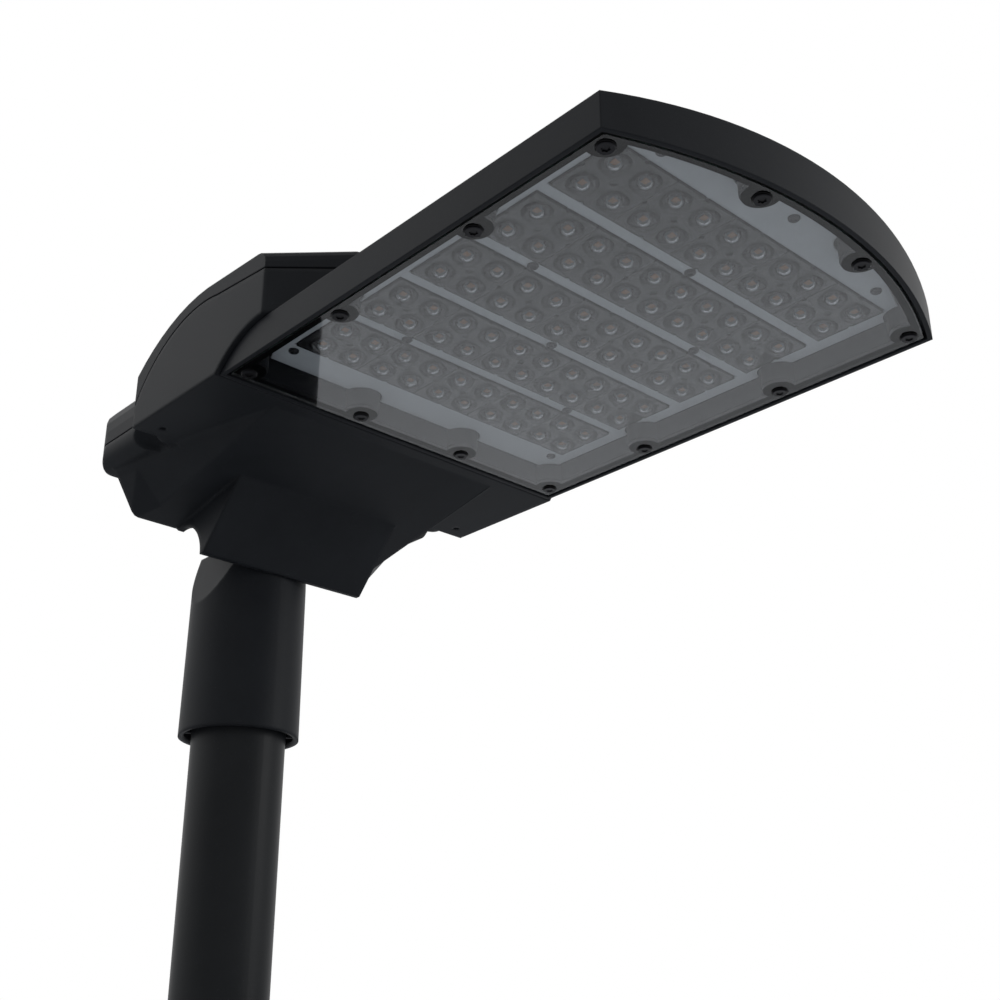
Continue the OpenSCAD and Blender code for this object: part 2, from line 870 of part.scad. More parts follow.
module lens_module() {
    cap_r = (lens_r * lens_r + lens_h * lens_h) / (2 * lens_h);
    half = [module_side / 2, module_len / 2];
    difference() {
        union() {
            translate([-half[0], -half[1], 0])
                cube([module_side, module_len, lens_base_t]);
            for (a = [-1, 1])
                for (b = [-1, 1])
                    translate([a * led_pitch_x / 2, b * led_pitch_y / 2, 0])
                        intersection() {
                            translate([0, 0, cap_r - lens_h])
                                sphere(r = cap_r, $fn = 48);
                            translate([0, 0, -lens_h - lens_foot])
                                cylinder(r = lens_r + lens_foot, h = lens_h + 2 * lens_foot);
                        }
        }
        for (a = [-1, 1])
            for (b = [-1, 1])
                translate([a * led_pitch_x / 2, b * led_pitch_y / 2, lens_base_t])
                    sphere(r = led_room_r, $fn = 36);
        for (p = [[half[0], 0], [0, half[1]], [-half[0], 0], [0, -half[1]]])
            translate([p[0], p[1], -eps])
                cylinder(r = module_notch_r, h = lens_base_t + 2 * eps, $fn = 24);
        translate([0, 0, -eps])
            cylinder(r = gate_r, h = gate_h);
    }
}

// Hump of the canopy, drawn in by a wall
module hump(inset = 0) {
    hull() {
        for (s = [-1, 1]) {
            hump_slice(s * (shoulder_y - inset), 0, inset, front_x);
            hump_slice(s * brow_y, brow_rise, inset, brow_x);
        }
        hump_slice(0, canopy_rise, inset, peak_x);
    }
}

// Thin slice of the hump across the head
module hump_slice(y, rise, inset, nose) {
    top_z = under_z + canopy_high + rise - inset;
    crest_x = seam_x + 5;
    arc_z = top_z - canopy_r;
    edge_z = top_z - canopy_fall - canopy_edge_r;
    edge_x = nose - inset - canopy_edge_r;
    slice = 0.1;
    rear = corner_x + inset;
    start = -asin((crest_x - rear) / canopy_r);
    translate([0, y + slice / 2, 0])
        rotate([90, 0, 0])
            linear_extrude(height = slice)
                polygon(concat(
                    [[rear, under_z]],
                    [for (k = [0 : 8]) let (a = start * (1 - k / 8))
                        [crest_x + canopy_r * sin(a), arc_z + canopy_r * cos(a)]],
                    [for (a = [0 : 22.5 : 90])
                        [edge_x + canopy_edge_r * sin(a), edge_z + canopy_edge_r * cos(a)]],
                    [[nose - inset, under_z]]
                ));
}

// Dome of the tail, running forward into the hump
module dome(inset = 0) {
    intersection() {
        translate([0, 0, under_z])
            linear_extrude(height = dome_high)
                tail_plan(inset, dome_reach);
        translate([dome_x, shoulder_y, under_z + dome_high - dome_r])
            rotate([90, 0, 0])
                cylinder(r = dome_r - inset, h = shoulder_w, $fn = 180);
        translate([-tail_x, 0, under_z])
            rotate([90, 0, 90])
                linear_extrude(height = tail_x + corner_x + dome_reach)
                    for (s = [0, 1])
                        mirror([s, 0])
                            polygon(dome_half(inset));
    }
}

// Right half of the dome's cross-section, an arch from its flat top to its sides
function dome_half(i) = concat(
    [[-1, 0]],
    [[tail_y - i, 0]],
    [for (a = [0 : 10 : 90]) [
        dome_flat + (tail_y - dome_flat - i) * cos(a),
        dome_side + (dome_high - dome_brow - dome_side - i) * sin(a)
    ]],
    [[0, dome_high - i], [-1, dome_high - i]]
);

// Top cover of the gear housing
module canopy() {
    color(PAINT)
        difference() {
            union() {
                hump();
                dome();
            }
            difference() {
                union() {
                    hump(canopy_wall);
                    dome(canopy_wall);
                }
                canopy_posts();
            }
            below_seam(seam_gap);
            for (p = CANOPY_SCREWS)
                translate([p[0], p[1], under_z])
                    cylinder(d = canopy_screw_d, h = 40, $fn = 24);
        }
}

// Posts inside the canopy that take its screws
module canopy_posts() {
    for (p = CANOPY_SCREWS)
        translate([p[0], p[1], under_z])
            cylinder(r = canopy_post_r, h = dome_high, $fn = 36);
}

// Rubber seal in the parting seam
module canopy_gasket() {
    color(BLACK)
        intersection() {
            translate([0, 0, under_z])
                linear_extrude(height = seam_high + 20)
                    difference() {
                        gear_plan(1.2);
                        gear_plan(wall - 0.4);
                    }
            difference() {
                below_seam(seam_gap);
                below_seam();
            }
        }
}

module canopy_screws() {
    color(STEEL)
        for (p = CANOPY_SCREWS)
            translate([p[0], p[1], chamber_z])
                lobed_screw(canopy_head_d, canopy_head_h, canopy_screw_d, canopy_screw_l);
}

// Lower casting of the gear housing: shoulders, tail, belly and knuckle block
module gear_housing() {
    color(PAINT)
        difference() {
            union() {
                intersection() {
                    translate([0, 0, under_z])
                        linear_extrude(height = seam_high + 10)
                            polygon(shoulder_pts(0));
                    below_seam();
                }
                tail_block();
                belly();
                knuckle_block();
            }
            gear_space();
            chamber();
            slab_space();
            for (p = DRAINS)
                translate([p[0], p[1], under_z - 1])
                    cylinder(d = drain_d, h = wall + 2, $fn = 24);
            for (p = CANOPY_SCREWS)
                translate([p[0], p[1], under_z])
                    cylinder(d = canopy_screw_d + 2 * fit, h = big, $fn = 24);
            for (p = FRAME_SCREWS)
                translate([p[0], p[1], under_z])
                    cylinder(d = frame_screw_d + 0.6, h = big, $fn = 24);
            translate([grommet_x, 0, under_z])
                cylinder(d = grommet_d, h = big);
            translate([gland_x, gland_y, under_z])
                cylinder(d = gland_d, h = wall * 4);
            translate([gland_x, vent_y, under_z])
                cylinder(d = vent_d, h = wall * 4, $fn = 36);
        }
    color(PAINT)
        pivot_lugs();
}

// Tail of the lower casting, rounded below along each side and notched in front of it
module tail_block() {
    side = 2 * tail_edge_r;
    difference() {
        translate([0, 0, under_z])
            linear_extrude(height = seam_low)
                tail_plan();
        tail_notch();
        for (s = [0, 1])
            mirror([0, s, 0])
                translate([-tail_x, tail_y - tail_edge_r, under_z + tail_edge_r])
                    rotate([90, 0, 90])
                        linear_extrude(height = tail_x + corner_x)
                            difference() {
                                translate([0, -side])
                                    square(side);
                                circle(r = tail_edge_r);
                            }
    }
}

// Sloped belly panel with a ruled flank and cove along each side
module belly() {
    run = belly_x - belly_rear_x;
    rear_run = corner_x - belly_rear_x;
    part_left = (belly_x - corner_x) / run;
    translate([0, ridge_y, 0])
        rotate([90, 0, 0])
            linear_extrude(height = 2 * ridge_y)
                polygon([
                    [belly_rear_x, under_z - belly_drop], [belly_x, under_z],
                    [belly_x, under_z + eps], [belly_rear_x, under_z + seam_low / 2]
                ]);
    for (s = [0, 1])
        mirror([0, s, 0]) {
            translate([belly_rear_x, ridge_y, under_z])
                rotate([90, 0, 90])
                    linear_extrude(height = rear_run, scale = part_left)
                        polygon(concat(FLANK, REAR_COVE));
            translate([corner_x, ridge_y, under_z])
                rotate([90, 0, 90])
                    linear_extrude(height = run - rear_run, scale = 0.01)
                        scale(part_left)
                            polygon(concat(FLANK, FRONT_COVE));
            bulge();
        }
}

// Swell of the flank at the belly's rear end, which dies out forward along the ridge
module bulge() {
    slice = 0.1;
    hull() {
        translate([belly_rear_x, ridge_y, under_z])
            rotate([90, 0, 90])
                linear_extrude(height = slice)
                    polygon(concat(BULGE_FOOT, BULGE));
        translate([bulge_end_x, ridge_y, under_z])
            rotate([90, 0, 90])
                linear_extrude(height = slice)
                    scale(belly_part(bulge_end_x))
                        polygon(concat(BULGE_FOOT, [BULGE[3]]));
    }
}

// Wedge-shaped block over the spigot's knuckle
module knuckle_block() {
    slope_z = belly_drop * belly_part(block_top_x);
    difference() {
        translate([0, block_w / 2, 0])
            rotate([90, 0, 0])
                linear_extrude(height = block_w)
                    polygon([
                        [block_x, under_z - block_drop], [block_top_x, under_z - slope_z],
                        [block_top_x, under_z], [belly_rear_x, under_z],
                        [belly_rear_x, under_z - belly_drop], [block_x - 5, under_z - block_drop]
                    ]);
        translate([heel_x, big / 2, heel_z])
            rotate([90, 0, 0])
                cylinder(r = heel_r, h = big, $fn = 120);
    }
}

// Room for the spigot's knuckle, open below and behind the block
module chamber() {
    lean = (block_top_x - block_x) / (block_drop - belly_drop / 2);
    inner = wall * sqrt(1 + lean * lean);
    past = 10;
    translate([0, chamber_y, 0])
        rotate([90, 0, 0])
            linear_extrude(height = 2 * chamber_y)
                polygon([
                    [block_x - inner - past * lean, under_z - block_drop - past],
                    [block_top_x - inner, under_z - belly_drop / 2],
                    [block_top_x - inner, chamber_z],
                    [chamber_rear_x, chamber_z], [chamber_rear_x, under_z - block_drop - past]
                ]);
    translate([0, 0, under_z - block_drop - past])
        cylinder(d = spigot_top_d + spigot_room, h = block_drop + past);
}

// Lugs that hang from the chamber's roof and clamp the pivot barrel
module pivot_lugs() {
    for (s = [0, 1])
        mirror([0, s, 0])
            translate([pivot_x, lug_y + lug_t, pivot_z])
                rotate([90, 0, 0])
                    difference() {
                        union() {
                            cylinder(r = lug_r, h = lug_t);
                            translate([-lug_r, 0, 0])
                                cube([2 * lug_r, chamber_z - pivot_z + 1, lug_t]);
                        }
                        translate([0, 0, -eps])
                            cylinder(d = pivot_bolt_d + 2 * fit, h = lug_t + 2 * eps);
                    }
}

// Room for the control gear inside the lower casting
module gear_space() {
    roof = chamber_z + wall;
    difference() {
        union() {
            translate([0, 0, floor_z])
                linear_extrude(height = big)
                    polygon(shoulder_pts(wall));
            translate([0, 0, roof])
                linear_extrude(height = big)
                    tail_plan(wall, 2 * wall);
            translate([0, 0, floor_z])
                linear_extrude(height = big)
                    intersection() {
                        tail_plan(wall, 2 * wall);
                        square([big, 2 * (ridge_y + 8)], center = true);
                    }
            belly_room();
        }
        translate([frame_rear_x - slab_step, -shoulder_w, 0])
            cube([big, 2 * shoulder_w, slab_floor_z]);
        translate([-big / 2, -chamber_y - wall, 0])
            cube([big / 2 + block_top_x, 2 * (chamber_y + wall), roof]);
        for (p = TRAY_SCREWS)
            translate([p[0], p[1], 0])
                difference() {
                    cylinder(r = tray_boss_r, h = tray_z, $fn = 36);
                    translate([0, 0, floor_z])
                        cylinder(d = tray_hole_d, h = big, $fn = 24);
                }
        tail_notch(wall);
        for (p = CANOPY_SCREWS)
            translate([p[0], p[1], 0])
                cylinder(r = canopy_post_r, h = big, $fn = 36);
    }
}

// Room inside the belly, a wall's thickness above its sloped underside
module belly_room() {
    rise = wall / cos(atan2(belly_drop, belly_x - belly_rear_x));
    translate([0, ridge_y - wall, rise])
        rotate([90, 0, 0])
            linear_extrude(height = 2 * (ridge_y - wall))
                polygon([
                    [belly_rear_x + wall, under_z - belly_drop * belly_part(belly_rear_x + wall)],
                    [belly_x, under_z],
                    [belly_x, under_z + seam_low],
                    [belly_rear_x + wall, under_z + seam_low]
                ]);
}

// Room for the rear of the optic frame, with an open shadow gap at the cheeks
module slab_space() {
    intersection() {
        under_crown(fit);
        union() {
            behind_cheeks(fit);
            translate([frame_arc_x, -head_w / 2 - fit, under_z - eps])
                cube([big, head_w + 2 * fit, frame_h + crown + 1]);
        }
    }
    for (s = [0, 1])
        mirror([0, s, 0])
            intersection() {
                under_rear_edge(gap_side);
                translate([frame_rear_x - gap_side, head_w / 2 - cheek_w, under_z - eps])
                    cube([big, big, big]);
                under_crown(gap_side);
            }
}

// Folded tray that carries the control gear
module gear_tray() {
    color(STEEL)
        difference() {
            union() {
                translate([tray_x, -tray_w / 2, tray_z])
                    cube([tray_l, tray_w, tray_t]);
                for (x = [tray_x, tray_x + tray_l - tray_t])
                    translate([x, -tray_w / 2, tray_z])
                        cube([tray_t, tray_w, tray_fold]);
            }
            for (p = TRAY_SCREWS)
                translate([p[0], p[1], tray_z - eps])
                    cylinder(d = tray_hole_d + 2 * fit, h = tray_t + 2 * eps, $fn = 24);
        }
}

module tray_screws() {
    color(STEEL)
        for (p = TRAY_SCREWS)
            translate([p[0], p[1], gear_z])
                rotate([180, 0, 0])
                    lobed_screw(tray_head_d, tray_head_h, tray_hole_d, gear_z - floor_z);
}

// Sealed constant-current driver with mounting ears
module driver() {
    color([0.75, 0.75, 0.76])
        translate([driver_x, driver_y, gear_z]) {
            translate([0, driver_ear, 0])
                cube([driver_w, driver_l - 2 * driver_ear, driver_h]);
            difference() {
                cube([driver_w, driver_l, driver_ear_t]);
                for (y = [driver_ear / 2, driver_l - driver_ear / 2])
                    translate([driver_w / 2, y, -eps])
                        cylinder(d = driver_hole_d, h = driver_ear_t + 2 * eps, $fn = 24);
            }
        }
}

module surge_protector() {
    color([0.2, 0.3, 0.5])
        translate([surge_x, surge_y, gear_z])
            difference() {
                cube(SURGE);
                translate([(SURGE[0] - SURGE_DISH[0]) / 2, (SURGE[1] - SURGE_DISH[1]) / 2, SURGE[2] - SURGE_DISH[2]])
                    cube([SURGE_DISH[0], SURGE_DISH[1], SURGE_DISH[2] + eps]);
            }
}

// Four-way terminal block
module terminal_block() {
    pitch = TERMINALS[1] / terminal_n;
    color([0.85, 0.85, 0.82])
        translate([frame_rear_x, terminal_y, slab_floor_z])
            difference() {
                cube(TERMINALS);
                for (k = [0 : terminal_n - 1])
                    translate([0, pitch * (k + 0.5), 0]) {
                        translate([-eps, 0, terminal_hole_d])
                            rotate([0, 90, 0])
                                cylinder(d = terminal_hole_d, h = 9, $fn = 24);
                        translate([terminal_hole_d + 1, 0, TERMINALS[2] / 2 + 1])
                            cylinder(d = terminal_screw_d, h = TERMINALS[2] / 2, $fn = 24);
                    }
            }
}

// Gland that seals the supply cable's way in, in the chamber's roof
module cable_gland() {
    color(BLACK)
        translate([gland_x, gland_y, chamber_z])
            difference() {
                union() {
                    translate([0, 0, -gland_flange_h])
                        cylinder(d = gland_hex_d, h = gland_flange_h, $fn = 6);
                    cylinder(d = gland_d - fit, h = wall + 2 * gland_nut_h);
                    translate([0, 0, -gland_flange_h - gland_cap_h])
                        cylinder(d1 = gland_d - 4, d2 = gland_d + 2, h = gland_cap_h);
                }
                translate([0, 0, -gland_flange_h - gland_cap_h - eps])
                    cylinder(d = gland_hole_d, h = big, $fn = 36);
            }
}

module gland_nut() {
    color(BLACK)
        translate([gland_x, gland_y, chamber_z + wall])
            difference() {
                cylinder(d = gland_hex_d, h = gland_nut_h, $fn = 6);
                translate([0, 0, -eps])
                    cylinder(d = gland_d, h = gland_nut_h + 2 * eps);
            }
}

// Breather that evens out the pressure in the housing
module pressure_vent() {
    color(BLACK)
        translate([gland_x, vent_y, chamber_z])
            difference() {
                union() {
                    translate([0, 0, -vent_head_h])
                        cylinder(d = vent_head_d, h = vent_head_h, $fn = 36);
                    cylinder(d = vent_d - fit, h = wall + 3, $fn = 36);
                }
                translate([0, 0, -1])
                    cylinder(d = vent_hole_d, h = big, $fn = 24);
            }
}

pole_section();
spigot();
spigot_clamp_screws();
pivot_bolt();
pivot_washers();
pivot_nut();
optic_frame();
frame_screws();
wire_grommet();
cover_glass();
glass_gasket();
glass_screws();
glass_screw_seals();
cover_plate();
plate_screws();
led_board(0);  // led_board_1
led_board(1);  // led_board_2
led_board(2);  // led_board_3
led_board(3);  // led_board_4
led_board(4);  // led_board_5
led_chips(0);  // led_chips_1
led_chips(1);  // led_chips_2
led_chips(2);  // led_chips_3
led_chips(3);  // led_chips_4
led_chips(4);  // led_chips_5
lens_strip(0);  // lens_strip_1
lens_strip(1);  // lens_strip_2
lens_strip(2);  // lens_strip_3
lens_strip(3);  // lens_strip_4
lens_strip(4);  // lens_strip_5
gear_housing();
canopy();
canopy_gasket();
canopy_screws();
gear_tray();
tray_screws();
driver();
surge_protector();
terminal_block();
cable_gland();
gland_nut();
pressure_vent();
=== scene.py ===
import bpy
from mathutils import Matrix, Vector


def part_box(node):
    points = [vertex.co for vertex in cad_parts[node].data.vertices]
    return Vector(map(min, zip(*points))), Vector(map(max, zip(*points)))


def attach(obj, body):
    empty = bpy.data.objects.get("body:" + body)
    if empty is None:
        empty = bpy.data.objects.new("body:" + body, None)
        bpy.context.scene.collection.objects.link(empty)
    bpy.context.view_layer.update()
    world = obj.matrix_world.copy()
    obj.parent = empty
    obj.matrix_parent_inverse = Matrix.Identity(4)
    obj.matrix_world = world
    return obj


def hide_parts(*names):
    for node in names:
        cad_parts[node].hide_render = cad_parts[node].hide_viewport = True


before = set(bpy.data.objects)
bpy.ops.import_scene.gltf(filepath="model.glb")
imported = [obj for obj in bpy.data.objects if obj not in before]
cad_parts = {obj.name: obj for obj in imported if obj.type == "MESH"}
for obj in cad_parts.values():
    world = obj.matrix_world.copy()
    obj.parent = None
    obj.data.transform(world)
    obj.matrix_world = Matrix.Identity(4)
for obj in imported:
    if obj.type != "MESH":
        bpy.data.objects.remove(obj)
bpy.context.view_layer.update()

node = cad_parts

# Camera. It stands below and in front of the nose and looks up along the head to the pole.
# Its place, turn and lens were worked out from the regular grid of lens modules.
film_width = 36.0
focal_length = 49.406
camera_place = (0.95446, -0.59666, -0.03647)
camera_right = Vector((0.68084, 0.73243, -0.00246))
camera_up = Vector((0.29266, -0.26897, 0.91761))
camera_back = Vector((0.67142, -0.62547, -0.39748))
camera_data = bpy.data.cameras.new("camera")
camera_data.sensor_fit = "HORIZONTAL"
camera_data.sensor_width = film_width
camera_data.lens = focal_length
camera = bpy.data.objects.new("camera", camera_data)
camera_turn = Matrix((camera_right, camera_up, camera_back)).transposed().to_4x4()
camera.matrix_world = Matrix.Translation(camera_place) @ camera_turn
bpy.context.scene.collection.objects.link(camera)
bpy.context.scene.camera = camera

# The die-cast housings. Aluminium, blasted and powder coated in a near-black charcoal:
# a fine pebbled skin with a satin sheen, a little dust and slight shade from place to place.
# The lower casting and the spigot have softer, blended edges than the frame and the canopy.
charcoal_deep = (0.0092, 0.0102, 0.012)
charcoal_pale = (0.0132, 0.0145, 0.0168)
charcoal_pebble = 900.0
charcoal_roughness = 0.46
charcoal_gloss = 0.06
crisp_edge = 0.0014
blended_edge = 0.0045
coat_sheen_swing = 0.07
dust_times = 2.2


def new_finish(name):
    finish = bpy.data.materials.new(name)
    finish.use_nodes = True
    finish.node_tree.nodes.new("ShaderNodeTexCoord")
    return finish


def shader_of(finish):
    return finish.node_tree.nodes["Principled BSDF"]


def noise(finish, scale, detail=2.0, roughness=0.5):
    nodes = finish.node_tree.nodes
    texture = nodes.new("ShaderNodeTexNoise")
    texture.inputs["Scale"].default_value = scale
    texture.inputs["Detail"].default_value = detail
    texture.inputs["Roughness"].default_value = roughness
    place = nodes["Texture Coordinate"].outputs["Object"]
    finish.node_tree.links.new(place, texture.inputs["Vector"])
    return texture.outputs["Fac"]


def spread(finish, value, low, high, start=0.0, end=1.0):
    span = finish.node_tree.nodes.new("ShaderNodeMapRange")
    span.inputs["From Min"].default_value = start
    span.inputs["From Max"].default_value = end
    span.inputs["To Min"].default_value = low
    span.inputs["To Max"].default_value = high
    finish.node_tree.links.new(value, span.inputs["Value"])
    return span.outputs["Result"]


def shade(finish, value, deep, deep_at, pale, pale_at):
    ramp = finish.node_tree.nodes.new("ShaderNodeValToRGB")
    first, last = ramp.color_ramp.elements
    first.position = deep_at
    first.color = (*deep, 1.0)
    last.position = pale_at
    last.color = (*pale, 1.0)
    finish.node_tree.links.new(value, ramp.inputs["Fac"])
    return ramp.outputs["Color"]


def blend(finish, value, first, second):
    mix = finish.node_tree.nodes.new("ShaderNodeMix")
    mix.data_type = "RGBA"
    finish.node_tree.links.new(value, mix.inputs["Factor"])
    if isinstance(first, tuple):
        mix.inputs["A"].default_value = (*first, 1.0)
    else:
        finish.node_tree.links.new(first, mix.inputs["A"])
    mix.inputs["B"].default_value = (*second, 1.0)
    return mix.outputs["Result"]


def bump(finish, height, strength, distance):
    relief = finish.node_tree.nodes.new("ShaderNodeBump")
    relief.inputs["Strength"].default_value = strength
    relief.inputs["Distance"].default_value = distance
    finish.node_tree.links.new(height, relief.inputs["Height"])
    finish.node_tree.links.new(relief.outputs["Normal"], shader_of(finish).inputs["Normal"])
    return relief


def powder_coat(name, deep, pale, pebble, roughness, gloss, edge=crisp_edge):
    coat = new_finish(name)
    link = coat.node_tree.links.new
    shader = shader_of(coat)
    shader.inputs["Specular IOR Level"].default_value = gloss

    clouds = noise(coat, scale=9.0, detail=5.0, roughness=0.6)
    specks = spread(coat, noise(coat, scale=620.0), low=0.0, high=0.35, start=0.66, end=0.8)
    clean = shade(coat, clouds, deep=deep, deep_at=0.34, pale=pale, pale_at=0.68)
    dust = tuple(part * dust_times for part in pale)
    link(blend(coat, specks, clean, dust), shader.inputs["Base Color"])

    sheen = spread(
        coat, clouds, low=roughness - coat_sheen_swing, high=roughness + coat_sheen_swing)
    link(sheen, shader.inputs["Roughness"])

    skin = noise(coat, scale=pebble, detail=3.0, roughness=0.55)
    relief = bump(coat, skin, strength=0.12, distance=0.0004)
    cast_edge = coat.node_tree.nodes.new("ShaderNodeBevel")
    cast_edge.samples = 6
    cast_edge.inputs["Radius"].default_value = edge
    link(cast_edge.outputs["Normal"], relief.inputs["Normal"])
    return coat


def dress(finish, *pieces):
    for piece in pieces:
        node[piece].data.materials.clear()
        node[piece].data.materials.append(finish)


charcoal = powder_coat(
    "charcoal_powder_coat", charcoal_deep, charcoal_pale,
    pebble=charcoal_pebble, roughness=charcoal_roughness, gloss=charcoal_gloss)
dress(charcoal, "optic_frame", "canopy")
soft_charcoal = powder_coat(
    "charcoal_on_blended_casting", charcoal_deep, charcoal_pale,
    pebble=charcoal_pebble, roughness=charcoal_roughness, gloss=charcoal_gloss,
    edge=blended_edge)
dress(soft_charcoal, "gear_housing", "spigot")

# The pole top. A steel tube, galvanised and painted to match the head,
# with a smoother, slightly glossier skin than the castings have.
pole_paint = powder_coat(
    "pole_paint", deep=(0.0095, 0.0104, 0.0116), pale=(0.0135, 0.0146, 0.016),
    pebble=500.0, roughness=0.42, gloss=0.07)
dress(pole_paint, "pole_section")

# The cover glass. Flat toughened glass with a trace of dust and dark ground edges,
# laid in the rim on its gasket and held by twelve screws.
glass_refraction = 1.5
glass_dust_roughness = 0.06
glass_edge_roughness = 0.75
glass_edge_colour = (0.01, 0.025, 0.022)
glass_face_colour = (0.94, 0.957, 0.965)


def looking_up(finish):
    split = finish.node_tree.nodes.new("ShaderNodeSeparateXYZ")
    normal = finish.node_tree.nodes["Texture Coordinate"].outputs["Normal"]
    finish.node_tree.links.new(normal, split.inputs["Vector"])
    return split.outputs["Z"]


def roughen(finish, first, second):
    total = finish.node_tree.nodes.new("ShaderNodeMath")
    finish.node_tree.links.new(first, total.inputs[0])
    finish.node_tree.links.new(second, total.inputs[1])
    finish.node_tree.links.new(total.outputs["Value"], shader_of(finish).inputs["Roughness"])


glass = new_finish("toughened_glass")
shader_of(glass).inputs["Transmission Weight"].default_value = 1.0
shader_of(glass).inputs["IOR"].default_value = glass_refraction
flat_face = glass.node_tree.nodes.new("ShaderNodeMath")
flat_face.operation = "ABSOLUTE"
glass.node_tree.links.new(looking_up(glass), flat_face.inputs[0])
glass_tint = blend(glass, flat_face.outputs["Value"], glass_edge_colour, glass_face_colour)
glass.node_tree.links.new(glass_tint, shader_of(glass).inputs["Base Color"])
dust_film = spread(glass, noise(glass, scale=35.0, detail=6.0), low=0.0, high=glass_dust_roughness)
ground_edge = spread(glass, flat_face.outputs["Value"], low=glass_edge_roughness, high=0.0)
roughen(glass, dust_film, ground_edge)
dress(glass, "cover_glass")

# Silicone seals: the gasket behind the glass, the washers under its screws,
# the seal in the housing's seam and the bush for the leads. Matt black, moulded.
silicone_gloss = 0.2
mottle_darkest = 0.8
mottle_lightest = 1.12
moulded_sheen_swing = 0.06


def moulded(name, colour, roughness, grain, depth):
    stuff = new_finish(name)
    link = stuff.node_tree.links.new
    mottle = noise(stuff, scale=40.0, detail=4.0)
    deep = tuple(part * mottle_darkest for part in colour)
    pale = tuple(part * mottle_lightest for part in colour)
    tint = shade(stuff, mottle, deep=deep, deep_at=0.3, pale=pale, pale_at=0.7)
    link(tint, shader_of(stuff).inputs["Base Color"])
    sheen = spread(
        stuff, mottle, low=roughness - moulded_sheen_swing, high=roughness + moulded_sheen_swing)
    link(sheen, shader_of(stuff).inputs["Roughness"])
    bump(stuff, noise(stuff, scale=grain), strength=depth, distance=0.0003)
    return stuff


silicone = moulded(
    "black_silicone", colour=(0.006, 0.006, 0.0065), roughness=0.62, grain=1200.0, depth=0.2)
shader_of(silicone).inputs["Specular IOR Level"].default_value = silicone_gloss
dress(silicone, "glass_gasket", "glass_screw_seals", "canopy_gasket", "wire_grommet")

# Steel fixings and the folded gear tray. Bright stainless for the pivot, clamp and tray
# hardware, and blackened stainless for the screws that show on the glass and the cover plate.
machined_grain = 2600.0


def turned_metal(name, colour, roughness):
    metal = moulded(name, colour, roughness, grain=machined_grain, depth=0.25)
    shader_of(metal).inputs["Metallic"].default_value = 1.0
    return metal


bright_steel = turned_metal("stainless_steel", colour=(0.55, 0.55, 0.54), roughness=0.32)
dress(bright_steel, "spigot_clamp_screws", "pivot_bolt", "pivot_washers", "pivot_nut",
      "frame_screws", "canopy_screws", "tray_screws", "gear_tray")
black_steel = turned_metal("blackened_steel", colour=(0.018, 0.018, 0.02), roughness=0.3)
dress(black_steel, "glass_screws", "plate_screws")

# The cover plate. Thin aluminium, punched out round each strip and painted light grey,
# screwed to the roof of the optic frame.
plate_grey = powder_coat(
    "plate_grey_paint", deep=(0.4, 0.425, 0.45), pale=(0.46, 0.485, 0.51),
    pebble=800.0, roughness=0.55, gloss=0.3)
dress(plate_grey, "cover_plate")

# The circuit boards. Aluminium core with a dark solder mask, which shows grey through the
# lens modules, one board behind each strip of lenses.
strips = 5
board_mask = moulded(
    "dark_solder_mask", colour=(0.2, 0.206, 0.216), roughness=0.45, grain=500.0, depth=0.08)
for strip in range(1, strips + 1):
    dress(board_mask, f"led_board_{strip}")

# The LED packages. Square ceramic bodies, each with a raised orange phosphor window,
# soldered to the board, one behind each lens: four to a module, five modules to a strip.
package_side = 0.005
package_height = 0.00046
window_rim = 0.00018
window_rise = 0.00022
lens_step_x = 0.0253
lens_step_y = 0.0259
module_step = 0.0526
modules = 5
window_slot = 1
faces_down = -0.9
ceramic = moulded(
    "led_ceramic", colour=(0.17, 0.14, 0.12), roughness=0.45, grain=2200.0, depth=0.1)
phosphor = moulded(
    "led_phosphor", colour=(0.89, 0.41, 0.14), roughness=0.4, grain=2600.0, depth=0.15)
bpy.ops.object.select_all(action="DESELECT")
bpy.ops.mesh.primitive_cube_add(size=1.0, scale=(package_side, package_side, package_height))
package = bpy.context.active_object
bpy.ops.object.transform_apply(location=True, rotation=True, scale=True)
package.data.materials.append(ceramic)
package.data.materials.append(phosphor)
for face in package.data.polygons:
    face.select = face.normal.z < faces_down
for edge in package.data.edges:
    edge.select = False
for corner in package.data.vertices:
    corner.select = corner.co.z < 0
bpy.ops.object.mode_set(mode="EDIT")
bpy.ops.mesh.select_mode(type="FACE")
bpy.ops.mesh.inset(thickness=window_rim)
package.active_material_index = window_slot
bpy.ops.object.material_slot_assign()
bpy.ops.mesh.extrude_region_move(TRANSFORM_OT_translate={"value": (0.0, 0.0, -window_rise)})
bpy.ops.object.mode_set(mode="OBJECT")
for strip in range(1, strips + 1):
    chip_low, chip_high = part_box(f"led_chips_{strip}")
    strip_x = (chip_low[0] + chip_high[0]) / 2
    strip_y = (chip_low[1] + chip_high[1]) / 2
    package_z = chip_high[2] - package_height / 2
    bpy.ops.object.select_all(action="DESELECT")
    for module in range(modules):
        module_y = strip_y + (module - (modules - 1) / 2) * module_step
        for side_x in (-0.5, 0.5):
            for side_y in (-0.5, 0.5):
                led = package.copy()
                led.data = package.data.copy()
                led.location = (
                    strip_x + side_x * lens_step_x, module_y + side_y * lens_step_y, package_z)
                bpy.context.scene.collection.objects.link(led)
                led.select_set(True)
    bpy.context.view_layer.objects.active = led
    bpy.ops.object.join()
    led.name = f"led_packages_{strip}"
    bpy.ops.object.transform_apply(location=True, rotation=True, scale=True)
    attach(led, "root")
    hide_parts(f"led_chips_{strip}")
bpy.data.objects.remove(package)

